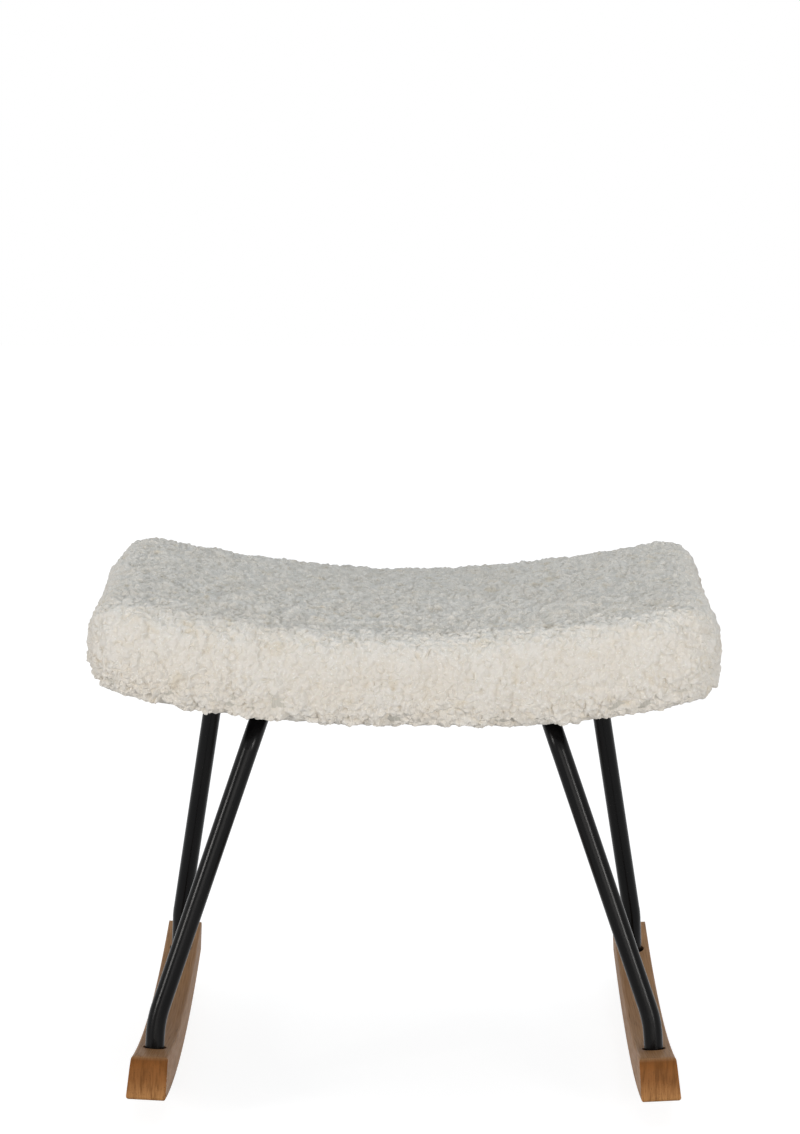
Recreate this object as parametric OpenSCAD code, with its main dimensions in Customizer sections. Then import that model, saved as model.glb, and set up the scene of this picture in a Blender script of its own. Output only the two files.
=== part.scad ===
// Rocking footstool: an upholstered saddle seat on two bent steel tubes,
// which stand in two curved oak rockers.
// X runs along the seat, +Y points to the back and +Z up. The origin is on
// the floor under the middle of the stool. Left and right are seen from the front.

/* [Seat] */
// Length of the seat from end to end, over the pile
seat_w = 522; // [480:1:570]
// Depth of the seat from front to back, over the pile
seat_d = 394; // [350:1:430]
// Thickness of the seat over the pile, where the rolled edge meets the top
seat_t = 76; // [66:1:86]
// Rise of the crown above the edge of the top
seat_crown = 5; // [2:1:10]
// Height of the seat's underside above the floor, at its middle
seat_under_h = 326; // [300:1:360]
// Radius of the saddle curve, at the seat's underside
saddle_r = 1117; // [950:1:1600]
// Radius of the seat's corners in plan
seat_corner_r = 38; // [32:1:56]
// Width of the upper rolled edge
top_roll_w = 34; // [26:1:44]
// Height of the widest line of the rolled edge above the underside
bulge_h = 34; // [28:1:42]

/* [Padding and cover] */
// Thickness of the cover with its pile, on the top and the sides
cover_t = 8; // [5:0.5:9]
// Thickness of the cover where it is pulled flat under the board
hem_t = 4; // [3:0.5:5]
// Width of the cover's hem under the board
hem_w = 38; // [30:1:45]
// Thickness of the fibre wadding over the foam
wadding_t = 5; // [3:0.5:6]
// Thickness of the black dust cover
dust_t = 0.8; // [0.6:0.1:1.2]

/* [Seat board] */
// Thickness of the bent plywood board
board_t = 12; // [10:1:14]
// Distance from the board's edge out to the seat's widest line
board_inset = 22; // [20:1:26]

/* [Legs] */
// Outer diameter of the leg tube
tube_d = 16; // [14:0.5:18]
// Wall thickness of the leg tube
tube_wall = 1.5; // [1:0.1:2]
// Distance from the middle of the stool to each foot, front and rear
foot_y = 154; // [140:1:170]
// Height of the front leg's lower bend above the wood
front_rise = 23; // [20:1:40]
// Height of the rear leg's lower bend above the wood
rear_rise = 35; // [20:1:50]
// Distance from the seat's end in to the front leg's upper bend
front_leg_inset = 141; // [126:1:156]
// Distance from the seat's end in to the rear leg's upper bend
rear_leg_inset = 94; // [86:1:111]
// Distance from the middle of the stool to the upper bends
top_bend_y = 114; // [105:1:125]
// Distance from the seat's end in to where the tube turns outwards under the seat
run_inset = 143.5; // [134:0.5:156]
// Distance from the middle of the stool forwards to where the tube turns outwards
run_bend_y = 40; // [34:1:44]
// Radius of the outward turn under the seat, at the tube's centre line
run_bend_r = 60; // [40:1:80]
// Radius of the upper bends, at the tube's centre line
top_bend_r = 36; // [30:1:40]
// Radius of the lower bends, at the tube's centre line
low_bend_r = 90; // [50:1:100]

/* [Rockers] */
// Length of each rocker, from tip to tip
rocker_len = 452; // [420:1:480]
// Radius of the rolling face
rocker_r = 1110; // [950:1:1400]
// Height of the rocker's section
rocker_h = 35; // [32:1:42]
// Width of the rocker's section, at its top
rocker_w = 30.5; // [28:0.5:36]
// How much further out the rocker's outer side stands at its bottom
rocker_flare = 2; // [0:0.5:3]
// Distance from the seat's end in to the middle of the rolling face
rocker_inset = 50; // [36:1:61]
// Lean of each rocker, with its top towards the middle, in degrees
rocker_lean = 3; // [0:0.5:5]
// Radius of the rocker's long edges
rocker_edge_r = 2.5; // [1.5:0.5:4]
// Radius of the upper corner at each tip
nose_r = 11; // [6:1:14]
// Radius of the lower corner at each tip
toe_r = 3; // [2:0.5:5]
// Depth of the leg sockets
socket_depth = 19; // [16:1:20]
// Gap all round the tube in its socket
socket_gap = 2; // [1:0.5:2.5]
// Depth of the counterbore under each leg socket
counterbore_depth = 9; // [8.5:0.5:10]

/* [Crossbars] */
// Width of the flat steel crossbars
bar_w = 28; // [24:1:32]
// Thickness of the crossbars
bar_t = 4; // [3:0.5:5]
// Distance from the middle of the stool to each crossbar
bar_y = 64; // [55:1:66]
// Length of each crossbar past the centre of the tube under it
bar_over = 14; // [11:1:16]
// Corner radius of the crossbars
bar_corner_r = 5; // [3:0.5:8]
// Distance from the seat's end in to the bolts in the crossbars
bolt_inset = 189; // [171:1:206]

/* [Fasteners] */
// Thread diameter of all the bolts
bolt_d = 6; // [5:0.5:6.5]
// Diameter of the bolt heads
bolt_head_d = 10; // [9:0.5:11]
// Height of the bolt heads
bolt_head_h = 6; // [5:0.5:6]
// Width across the corners of the hexagon key socket
key_d = 5.7; // [4.5:0.1:6]
// Depth of the hexagon key socket
key_depth = 3; // [2:0.5:3.5]
// Length of the seat bolts under their heads
seat_bolt_len = 16; // [14:1:17]
// Length of the rocker bolts under their heads
rocker_bolt_len = 20; // [16:1:22]
// Diameter of the washers
washer_d = 12; // [11.5:0.5:12.5]
// Thickness of the washers
washer_t = 1.2; // [1:0.1:1.6]
// Length of the threaded insert in each leg end
insert_len = 16; // [12:1:20]
// Diameter of the tee nut's flange
tee_flange_d = 19; // [17:0.5:22]
// Thickness of the tee nut's flange
tee_flange_t = 1.2; // [1:0.1:1.5]
// Diameter of the tee nut's barrel
tee_barrel_d = 8; // [7.5:0.1:8.5]
// Length of the tee nut, over its flange
tee_len = 9.5; // [8:0.5:10]
// Length of a staple's crown
staple_len = 10; // [8:0.5:12]
// Width of a staple's wire
staple_w = 1.2; // [1:0.1:1.4]
// Thickness of a staple's wire
staple_t = 0.7; // [0.5:0.1:0.8]
// Distance between staples along a hem, at the most
staple_pitch = 48; // [40:1:80]

/* [Hidden] */

// Parts of a millimetre that a length is rounded to where its outline needs it
hundredths = 100;

// Clearances and the overrun of every cut
soft_gap = 0.3;
weld_gap = 0.45;
thread_gap = 0.15;
press_gap = 0.1;
bolt_gap = 0.4;
washer_gap = 0.8;
overrun = 2;

// Facets of the round solids and counts of the seat's outline
$fn = 96;
arc_facets = 720;
bend_facets = 180;
tube_facets = 48;
corner_facets = 32;
key_sides = 6;
arc_steps = 5;
long_points = 8;
short_points = 2;
roll_steps = 5;
lower_roll_steps = 4;
crown_shares = [0.35, 0.7];
least_corner_share = 0.125;

// Saddle: the seat's layers lie on cylinders about one axis along Y
saddle_z = seat_under_h + saddle_r;
half_w = seat_w / 2;
half_d = seat_d / 2;
least_corner_r = least_corner_share * seat_corner_r;
window_inset = board_inset + hem_w;
board_h = hem_t + soft_gap;
board_top_h = board_h + board_t;
foam_depth = cover_t + soft_gap + wadding_t + soft_gap;
bar_top_h = board_h - dust_t;
bar_low_h = bar_top_h - bar_t;
bolt_angle = asin((half_w - bolt_inset) / saddle_r);

// Rockers: the arc's centre is above the middle of each rolling face
rocker_x = half_w - rocker_inset;
foot_angle = asin(foot_y / (rocker_r - rocker_h));
tip_angle = asin(rocker_len / (2 * rocker_r));
inner_edge_x = rocker_w / 2 - rocker_edge_r;
rocker_lift = inner_edge_x * sin(rocker_lean) + rocker_edge_r * (1 - cos(rocker_lean));
socket_floor_h = rocker_h - socket_depth;

// Legs: the centre line of the right tube, from the front foot to the rear foot
front_top_x = half_w - front_leg_inset;
turn_x = half_w - run_inset;
rear_top_x = half_w - rear_leg_inset;
bar_to_tube = tube_d / 2 + weld_gap;
run_r = saddle_r - bar_low_h + bar_to_tube;
leg_path = [
    foot_point(-1, socket_floor_h),
    foot_point(-1, rocker_h + front_rise),
    [front_top_x, -top_bend_y, run_z(front_top_x)],
    [turn_x, -run_bend_y, run_z(turn_x)],
    [rear_top_x, top_bend_y, run_z(rear_top_x)],
    foot_point(1, rocker_h + rear_rise),
    foot_point(1, socket_floor_h)
];
leg_bend_rs = [low_bend_r, top_bend_r, run_bend_r, top_bend_r, low_bend_r];
bend_step = 0.06;
bend_lap = 0.4;
socket_side = [cos(rocker_lean), 0, sin(rocker_lean)];

// Heights and positions on the right side
function run_z(x) = saddle_z - sqrt(run_r ^ 2 - x ^ 2);
function run_x(y) = y < -run_bend_y
    ? turn_x + (front_top_x - turn_x) * (y + run_bend_y) / (run_bend_y - top_bend_y)
    : turn_x + (rear_top_x - turn_x) * (y + run_bend_y) / (run_bend_y + top_bend_y);
function to_hundredth(x) = round(x * hundredths) / hundredths;

function foot_point(end, h) =
    let (y = end * (rocker_r - h) * sin(foot_angle))
    let (z = rocker_r - (rocker_r - h) * cos(foot_angle))
    [rocker_x - z * sin(rocker_lean), y, rocker_lift + z * cos(rocker_lean)];

// Directions of the leg path, and how far and about which line it turns at each bend
function unit(v) = v / norm(v);
function heading(path, i) = unit(path[i + 1] - path[i]);
function bend_angle(path, i) = i + 2 < len(path) ? acos(heading(path, i) * heading(path, i + 1)) : 0;
function bend_cut(path, bend_rs, i) =
    i < 0 || i >= len(bend_rs) ? 0 : bend_rs[i] * tan(bend_angle(path, i) / 2);
function stretch_len(path, bend_rs, i) =
    norm(path[i + 1] - path[i]) - bend_cut(path, bend_rs, i - 1) - bend_cut(path, bend_rs, i);
function bend_side(path, i) =
    let (a = heading(path, i))
    let (b = heading(path, i + 1))
    unit(b - a * (a * b));
function side_before(path, i) = i == 0 ? socket_side :
    let (side = bend_side(path, i - 1))
    side * cos(bend_angle(path, i - 1)) - heading(path, i - 1) * sin(bend_angle(path, i - 1));
function bend_twist(path, i) =
    let (x = side_before(path, i))
    let (y = cross(heading(path, i), x))
    atan2(bend_side(path, i) * y, bend_side(path, i) * x);

// Outline of the seat in plan: four corner arcs with points along the sides
function corner_x(c) = c == 0 || c == 3 ? 1 : -1;
function corner_y(c) = c < 2 ? 1 : -1;
function arc_point(c, step, w, d, r) =
    let (angle = 90 * (c + step / arc_steps))
    [corner_x(c) * (w - r) + r * cos(angle), corner_y(c) * (d - r) + r * sin(angle)];
function side_point(c, share, w, d, r) =
    let (next_corner = (c + 1) % 4)
    arc_point(c, arc_steps, w, d, r) * (1 - share) + arc_point(next_corner, 0, w, d, r) * share;
function side_count(c) = c % 2 == 0 ? long_points : short_points;
function plan_ring(w, d, r) = [
    for (c = [0:3]) each concat(
        [for (step = [0:arc_steps]) arc_point(c, step, w, d, r)],
        [for (i = [1:side_count(c)]) side_point(c, i / (side_count(c) + 1), w, d, r)]
    )
];

// A point or a ring at height h above the underside, laid on the saddle curve
function saddle_point(p, h) = [p.x, p.y, saddle_z - sqrt((saddle_r - h) ^ 2 - p.x ^ 2)];
function saddle_ring(inset, share, h) =
    let (corner_r = max(seat_corner_r - inset, least_corner_r))
    [for (p = plan_ring((half_w - inset) * share, (half_d - inset) * share, corner_r * share))
        saddle_point(p, h)];

// Rings of one layer of the seat, from the top to its lower edge.
// depth is how far the layer lies inside the pile, and low_inset and low_h
// are where its lower roll ends.
function crown_rings(depth) = [
    for (share = crown_shares)
        saddle_ring(top_roll_w, share, seat_t - depth + seat_crown * (1 - share ^ 2))
];
function upper_rings(depth) = [
    for (i = [0:roll_steps]) let (angle = 90 * (1 - i / roll_steps))
        saddle_ring(
            top_roll_w - (top_roll_w - depth) * cos(angle), 1,
            bulge_h + (seat_t - depth - bulge_h) * sin(angle)
        )
];
function lower_rings(depth, low_inset, low_h) = [
    for (i = [1:lower_roll_steps]) let (angle = 90 * i / lower_roll_steps)
        saddle_ring(
            low_inset - (low_inset - depth) * cos(angle), 1,
            bulge_h - (bulge_h - low_h) * sin(angle)
        )
];
function layer_rings(depth, low_inset, low_h) = concat(
    crown_rings(depth),
    upper_rings(depth),
    lower_rings(depth, low_inset, low_h)
);
function reversed(list) = [for (i = [len(list) - 1:-1:0]) list[i]];
function top_pole(depth) = saddle_point([0, 0], seat_t - depth + seat_crown);

// A closed body through rings that all have the same number of points
module ring_body(rings, first_pole, last_pole) {
    count = len(rings[0]);
    last = len(rings) - 1;
    points = concat([first_pole], [for (ring = rings) each ring], [last_pole]);
    faces = concat(
        [for (j = [0:count - 1]) [0, 1 + (j + 1) % count, 1 + j]],
        [for (i = [0:last - 1], j = [0:count - 1]) let (a = 1 + i * count, k = (j + 1) % count)
            [a + j, a + k, a + count + k]],
        [for (i = [0:last - 1], j = [0:count - 1]) let (a = 1 + i * count, k = (j + 1) % count)
            [a + j, a + count + k, a + count + j]],
        [for (j = [0:count - 1]) let (a = 1 + last * count)
            [a + count, a + j, a + (j + 1) % count]]
    );
    polyhedron(points = points, faces = faces);
}

// Placing: a side, the rocker's own frame, a socket and a spot on the saddle
module on_side(side) {
    mirror([side < 0 ? 1 : 0, 0, 0]) children();
}

module in_rocker() {
    translate([rocker_x, 0, rocker_lift]) rotate([0, -rocker_lean, 0]) children();
}

module about_arc(angle) {
    translate([0, 0, rocker_r]) rotate([angle, 0, 0]) translate([0, 0, -rocker_r]) children();
}

module at_feet() {
    for (side = [-1, 1], end = [-1, 1])
        on_side(side) in_rocker() about_arc(end * foot_angle) children();
}

module on_saddle(angle, y) {
    translate([0, y, saddle_z]) rotate([0, -angle, 0]) translate([0, 0, -saddle_r]) children();
}

module at_seat_bolts() {
    for (side = [-1, 1], end = [-1, 1]) on_saddle(side * bolt_angle, end * bar_y) children();
}

// A disc or rod from z = low upwards
module rod(d, low, h) {
    translate([0, 0, low]) cylinder(d = d, h = h);
}

module ring_plate(outer_d, inner_d, low, h) {
    difference() {
        rod(outer_d, low, h);
        rod(inner_d, low - overrun, h + 2 * overrun);
    }
}

// Socket head bolt with the underside of its head at z = low
module cap_bolt(low, shank_len) {
    difference() {
        union() {
            rod(bolt_head_d, low - bolt_head_h, bolt_head_h);
            rod(bolt_d, low, shank_len);
        }
        translate([0, 0, low - bolt_head_h - overrun])
            cylinder(d = key_d, h = key_depth + overrun, $fn = key_sides);
    }
}

// Rectangle with rounded corners
module rounded_rectangle(w, d, r) {
    square([w - 2 * r, d], center = true);
    square([w, d - 2 * r], center = true);
    for (x = [-1, 1], y = [-1, 1])
        translate([x * (w / 2 - r), y * (d / 2 - r)]) circle(r = r, $fn = corner_facets);
}

// A sheet on the saddle curve, t thick, with its underside at height low_h
module saddle_sheet(low_h, t, w, d, r) {
    difference() {
        intersection() {
            translate([0, 0, seat_under_h / 2])
                linear_extrude(height = seat_under_h) rounded_rectangle(w, d, r);
            saddle_cylinder(saddle_r - low_h, d + 2 * overrun);
        }
        saddle_cylinder(saddle_r - low_h - t, d + 4 * overrun);
    }
}

module saddle_cylinder(r, len) {
    translate([0, 0, saddle_z]) rotate([90, 0, 0])
        cylinder(r = r, h = len, center = true, $fn = arc_facets);
}

// A rod of radius r from stretch i of the path on: straight along z, then a bend about y.
// Each bend is thicker by bend_step, so that the stretches run into its ends inside it.
module rod_from(i, path, bend_rs, r, over) {
    angle = bend_angle(path, i);
    stretch = stretch_len(path, bend_rs, i);
    before = i == 0 ? over : bend_lap;
    after = i == len(bend_rs) ? over : bend_lap;
    translate([0, 0, -before]) cylinder(r = r, h = before + stretch + after, $fn = tube_facets);
    if (i < len(bend_rs)) translate([0, 0, stretch]) rotate([0, 0, bend_twist(path, i)]) {
        bend_r = bend_rs[i];
        translate([bend_r, 0, 0]) rotate([90, 0, 180])
            rotate_extrude(angle = angle, $fn = bend_facets)
                translate([bend_r, 0]) circle(r = r + bend_step, $fn = tube_facets);
        translate([bend_r, 0, 0]) rotate([0, angle, 0]) translate([-bend_r, 0, 0])
            rod_from(i + 1, path, bend_rs, r, over);
    }
}

// It starts in the front socket, whose axis is the tube's first stretch
module side_frame() {
    in_rocker() about_arc(-foot_angle) translate([0, 0, socket_floor_h]) difference() {
        rod_from(0, leg_path, leg_bend_rs, tube_d / 2, 0);
        rod_from(0, leg_path, leg_bend_rs, tube_d / 2 - tube_wall, overrun);
    }
}

// Rocker section: radius along x and width along y, with the outer side at +y
module rocker_section() {
    top = rocker_r - rocker_h + rocker_edge_r;
    bottom = rocker_r - rocker_edge_r;
    side = rocker_w / 2 - rocker_edge_r;
    hull() for (corner = [[top, -side], [top, side], [bottom, side + rocker_flare], [bottom, -side]])
        translate(corner) circle(r = rocker_edge_r, $fn = corner_facets);
}

// What is cut away to round a corner whose faces lie at y = 0 and z = 0
module corner_cutter(r) {
    difference() {
        translate([-rocker_w, -r, -r]) cube([2 * rocker_w, r + overrun, r + overrun]);
        translate([0, -r, -r]) rotate([0, 90, 0])
            cylinder(r = r, h = 2 * rocker_w + 2 * overrun, center = true);
    }
}

module rocker() {
    difference() {
        translate([0, 0, rocker_r]) rotate([0, 90, 0]) rotate([0, 0, -tip_angle])
            rotate_extrude(angle = 2 * tip_angle, $fn = arc_facets) rocker_section();
        for (end = [-1, 1]) {
            mirror([0, end < 0 ? 1 : 0, 0]) about_arc(tip_angle) {
                translate([0, 0, rocker_h]) corner_cutter(nose_r);
                mirror([0, 0, 1]) corner_cutter(toe_r);
            }
            about_arc(end * foot_angle) {
                rod(tube_d + 2 * socket_gap, socket_floor_h, socket_depth + overrun);
                rod(bolt_d + 2 * bolt_gap, -overrun, rocker_h);
                rod(washer_d + 2 * washer_gap, -overrun, counterbore_depth + overrun);
            }
        }
    }
}

module rocker_left() {
    color("#a5743f") on_side(-1) in_rocker() rocker();
}

module rocker_right() {
    color("#a5743f") on_side(1) in_rocker() rocker();
}

module side_frame_left() {
    color("#1c1c1e") on_side(-1) side_frame();
}

module side_frame_right() {
    color("#1c1c1e") on_side(1) side_frame();
}

// Flat bar, curved to the saddle and welded on top of both tubes
module crossbar(end) {
    half_len = to_hundredth(run_x(end * bar_y) + bar_over);
    difference() {
        translate([0, end * bar_y, 0]) saddle_sheet(bar_low_h, bar_t, 2 * half_len, bar_w, bar_corner_r);
        at_seat_bolts() rod(bolt_d + 2 * bolt_gap, bar_low_h - overrun, bar_t + 2 * overrun);
    }
}

module front_crossbar() {
    color("#1c1c1e") crossbar(-1);
}

module rear_crossbar() {
    color("#1c1c1e") crossbar(1);
}

module leg_inserts() {
    insert_d = tube_d - 2 * tube_wall - 2 * press_gap;
    color("silver") at_feet() ring_plate(insert_d, bolt_d + 2 * thread_gap, socket_floor_h, insert_len);
}

module rocker_bolts() {
    color("silver") at_feet() cap_bolt(counterbore_depth - washer_t, rocker_bolt_len);
}

module rocker_bolt_washers() {
    color("silver") at_feet()
        ring_plate(washer_d, bolt_d + 2 * bolt_gap, counterbore_depth - washer_t, washer_t);
}

module seat_bolts() {
    color("#1c1c1e") at_seat_bolts() cap_bolt(bar_low_h - washer_t, seat_bolt_len);
}

module seat_bolt_washers() {
    color("silver") at_seat_bolts()
        ring_plate(washer_d, bolt_d + 2 * bolt_gap, bar_low_h - washer_t, washer_t);
}

module tee_nuts() {
    color("silver") at_seat_bolts() difference() {
        union() {
            rod(tee_flange_d, board_top_h - tee_flange_t - soft_gap, tee_flange_t);
            rod(tee_barrel_d, board_top_h - tee_len - soft_gap, tee_len);
        }
        rod(bolt_d + 2 * thread_gap, board_h - overrun, board_t + 2 * overrun);
    }
}

module seat_board() {
    color("#d9b98c") difference() {
        saddle_sheet(
            board_h, board_t, seat_w - 2 * board_inset, seat_d - 2 * board_inset,
            seat_corner_r - board_inset
        );
        at_seat_bolts() {
            rod(tee_barrel_d + 2 * press_gap, board_h - overrun, board_t + 2 * overrun);
            rod(tee_flange_d + 2 * bolt_gap, board_top_h - tee_flange_t - soft_gap, tee_flange_t + overrun);
        }
    }
}

module seat_foam() {
    color("#efe3b0") ring_body(
        layer_rings(foam_depth, board_inset, board_top_h + soft_gap),
        top_pole(foam_depth), saddle_point([0, 0], board_top_h + soft_gap)
    );
}

module seat_wadding() {
    outer_depth = cover_t + soft_gap;
    inner_depth = outer_depth + wadding_t;
    edge_inset = board_inset - soft_gap;
    color("white") ring_body(
        concat(
            layer_rings(outer_depth, edge_inset, board_h),
            reversed(layer_rings(inner_depth, edge_inset, board_top_h))
        ),
        top_pole(outer_depth), top_pole(inner_depth)
    );
}

module seat_cover() {
    color("#e6e1d6") ring_body(
        concat(
            layer_rings(0, board_inset, 0),
            [saddle_ring(window_inset, 1, 0), saddle_ring(window_inset, 1, hem_t)],
            reversed(layer_rings(cover_t, board_inset, hem_t))
        ),
        top_pole(0), top_pole(cover_t)
    );
}

module dust_cover() {
    color("#2a2a2a") difference() {
        saddle_sheet(
            bar_top_h, dust_t, seat_w - 2 * window_inset - 2 * soft_gap,
            seat_d - 2 * window_inset - 2 * soft_gap, least_corner_r
        );
        at_seat_bolts() rod(bolt_d + 2 * bolt_gap, bar_top_h - overrun, dust_t + 2 * overrun);
    }
}

// Staple crowns round a rectangle in plan, just under height low_h
module staple_row(inset, low_h) {
    x_half = half_w - inset;
    y_half = half_d - inset;
    x_count = ceil(2 * x_half / staple_pitch);
    y_count = ceil(2 * y_half / staple_pitch);
    for (i = [0:x_count - 1], end = [-1, 1])
        staple((2 * i + 1 - x_count) * x_half / x_count, end * y_half, 0, low_h);
    for (i = [0:y_count - 1], side = [-1, 1])
        staple(side * x_half, (2 * i + 1 - y_count) * y_half / y_count, 90, low_h);
}

module staple(x, y, turn, low_h) {
    on_saddle(asin(x / saddle_r), y) rotate([0, 0, turn])
        translate([0, 0, low_h - staple_t / 2 - press_gap])
            cube([staple_len, staple_w, staple_t], center = true);
}

module cover_staples() {
    color("silver") staple_row(board_inset + hem_w / 2, 0);
}

module dust_cover_staples() {
    color("silver") staple_row(window_inset + staple_len, bar_top_h);
}

rocker_left();
rocker_right();
side_frame_left();
side_frame_right();
front_crossbar();
rear_crossbar();
leg_inserts();
rocker_bolts();
rocker_bolt_washers();
seat_bolts();
seat_bolt_washers();
tee_nuts();
seat_board();
seat_foam();
seat_wadding();
seat_cover();
dust_cover();
cover_staples();
dust_cover_staples();
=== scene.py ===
# %% [markdown]
# # A rocking footstool
#
# The stool is a padded saddle seat in cream teddy fabric on two bent steel
# tubes, which stand in two curved oak rockers. Its hard pieces come from the
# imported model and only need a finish. The soft ones are built here, because
# cloth, wadding and foam have forms that a plain solid can't show.
#
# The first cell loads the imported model. Everything is in metres: X runs along
# the seat, +Y points to the back, +Z up, and the floor is Z = 0.

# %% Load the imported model
import math
import random

import bmesh
import bpy
from mathutils import Matrix, Vector, kdtree, noise


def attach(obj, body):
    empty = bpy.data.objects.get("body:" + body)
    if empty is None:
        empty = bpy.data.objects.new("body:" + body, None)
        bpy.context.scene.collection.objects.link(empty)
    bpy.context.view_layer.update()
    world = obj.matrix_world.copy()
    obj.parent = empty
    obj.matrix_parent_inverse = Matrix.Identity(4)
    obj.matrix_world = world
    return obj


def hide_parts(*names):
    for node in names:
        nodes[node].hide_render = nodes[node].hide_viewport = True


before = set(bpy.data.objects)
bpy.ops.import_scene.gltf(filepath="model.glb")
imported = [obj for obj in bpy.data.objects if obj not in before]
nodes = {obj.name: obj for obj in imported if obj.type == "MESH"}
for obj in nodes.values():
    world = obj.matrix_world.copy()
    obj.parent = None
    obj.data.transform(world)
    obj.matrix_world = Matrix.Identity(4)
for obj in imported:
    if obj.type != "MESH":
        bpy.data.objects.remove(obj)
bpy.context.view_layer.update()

scene = bpy.context.scene
scene.view_settings.view_transform = "Standard"

# %% [markdown]
# ## The camera
#
# A product photograph is taken from far away with a long lens, so the stool
# hardly shrinks towards the back. This camera stands 3 m in front at a height
# of 0.93 m and looks down a little. The picture is taller than it is wide, so
# the sensor's 36 mm lie along its height.

# %% Camera at the photograph's angle
PICTURE_H = 1134
SENSOR = 36.0
FOCAL_PX = 3531
CAMERA_PLACE = (0.0216, -3.0, 0.928)
LOOK_DOWN = math.radians(9.45)
TURN_LEFT = math.radians(0.503)

camera_data = bpy.data.cameras.new("camera")
camera_data.sensor_width = SENSOR
camera_data.lens = FOCAL_PX * SENSOR / PICTURE_H
camera = bpy.data.objects.new("camera", camera_data)
camera.location = CAMERA_PLACE
camera.rotation_euler = (math.pi / 2 - LOOK_DOWN, 0, TURN_LEFT)
scene.collection.objects.link(camera)
scene.camera = camera
print("lens:", round(camera_data.lens, 1), "mm")

# %% [markdown]
# ## Finishes as node trees
#
# A finish is a Principled shader whose inputs are fed by textures. Writing
# the same three lines for each node gets long, so small helpers add nodes and
# return their outputs, which can go straight into the next one. Textures read
# Object coordinates, so a pattern keeps its real size and stays put on the
# piece.

# %% Helpers for node trees
MIX_A, MIX_B, MIX_RESULT = 6, 7, 2


def add_node(tree, kind, inputs=None, output=0, **settings):
    """Adds a node. Its inputs are values or the outputs of other nodes."""
    made = tree.nodes.new("ShaderNode" + kind)
    for name, value in settings.items():
        setattr(made, name, value)
    for key, value in (inputs or {}).items():
        if isinstance(value, bpy.types.NodeSocket):
            tree.links.new(value, made.inputs[key])
        else:
            made.inputs[key].default_value = value
    return made.outputs[output]


def do_math(tree, operation, a, b=0.0):
    return add_node(tree, "Math", {0: a, 1: b}, operation=operation)


def mix_colors(tree, share, a, b):
    """From a to b by share. The Mix node has sockets of its own for colours."""
    return add_node(tree, "Mix", {0: share, MIX_A: a, MIX_B: b}, MIX_RESULT, data_type="RGBA")


def step_ramp(tree, value, stops):
    """A grey ramp through (position, brightness) stops."""
    output = add_node(tree, "ValToRGB", {0: value})
    elements = output.node.color_ramp.elements
    for element, (place, grey) in zip(elements, (stops[0], stops[-1])):
        element.position = place
        element.color = (grey, grey, grey, 1)
    for place, grey in stops[1:-1]:
        elements.new(place).color = (grey, grey, grey, 1)
    return output


def tinted(tree, color, pattern, stops, tint):
    """The colour with a tint over it, where a ramp through stops makes the pattern bright."""
    return mix_colors(tree, step_ramp(tree, pattern, stops), color, tint)


def stretched(tree, scale=(1, 1, 1), source=None):
    """Object coordinates, or those of source, scaled along each axis."""
    if source is None:
        source = add_node(tree, "TexCoord", output="Object")
    return add_node(tree, "Mapping", {"Vector": source, "Scale": scale})


def split_coords(tree, output="Object"):
    """X, Y and Z of the piece's coordinates or of its normal."""
    coords = add_node(tree, "TexCoord", output=output)
    return add_node(tree, "SeparateXYZ", {0: coords}).node.outputs


def distance_from_axis(tree, a, b):
    """How far a point lies from an axis, out of its two distances across the axis."""
    squares = [do_math(tree, "MULTIPLY", side, side) for side in (a, b)]
    return do_math(tree, "SQRT", do_math(tree, "ADD", *squares))


def noise_at(tree, vector, scale, detail, rough=0.5):
    inputs = {"Vector": vector, "Scale": scale, "Detail": detail, "Roughness": rough}
    return add_node(tree, "TexNoise", inputs)


def start_finish(name, color, roughness, **sockets):
    """A new material, its node tree and its shader."""
    material = bpy.data.materials.new(name)
    material.use_nodes = True
    tree = material.node_tree
    shader = tree.nodes["Principled BSDF"]
    shader.inputs["Base Color"].default_value = (*color, 1)
    shader.inputs["Roughness"].default_value = roughness
    for socket, value in sockets.items():
        shader.inputs[socket.replace("_", " ")].default_value = value
    return material, tree, shader


def add_bump(tree, shader, height, depth, strength=1.0):
    """Feeds a bump whose height of 1 stands for depth metres."""
    bump = add_node(tree, "Bump", {"Strength": strength, "Distance": depth, "Height": height})
    tree.links.new(bump, shader.inputs["Normal"])


def feed(tree, shader, socket, output):
    tree.links.new(output, shader.inputs[socket])


# %% [markdown]
# ## Powder-coated steel
#
# The legs and crossbars are steel with a baked black powder coat. It is not a
# mirror: it has a fine, soft orange peel a millimetre or two across, and the
# lamps show on a tube as narrow lines with soft edges. A low specular level
# keeps the black deep, and two sizes of noise make the peel and the places
# that hands have polished.

# %% Powder coat and blackened bolts
powder_black, tree, shader = start_finish(
    "black_powder_coat", (0.0025, 0.0025, 0.0027), 0.2, Specular_IOR_Level=0.12
)
coords = stretched(tree)
peel = noise_at(tree, coords, 620, 2)
wear = noise_at(tree, coords, 24, 4)
feed(tree, shader, "Roughness", step_ramp(tree, wear, [(0.3, 0.2), (0.7, 0.27)]))
feed(tree, shader, "Base Color", tinted(
    tree, (0.0015, 0.0015, 0.0017, 1), wear, [(0.35, 0), (0.75, 1)], (0.0037, 0.0035, 0.0036, 1)
))
add_bump(tree, shader, peel, 0.0001, 0.15)

bolt_black, tree, shader = start_finish(
    "blackened_steel", (0.02, 0.02, 0.022), 0.42, Metallic=0.6
)
rub = noise_at(tree, stretched(tree), 900, 3)
feed(tree, shader, "Roughness", step_ramp(tree, rub, [(0.3, 0.34), (0.75, 0.55)]))
feed(tree, shader, "Base Color", tinted(
    tree, (0.015, 0.015, 0.017, 1), rub, [(0.5, 0), (0.8, 1)], (0.05, 0.048, 0.046, 1)
))
add_bump(tree, shader, rub, 0.00006, 0.4)

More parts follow.
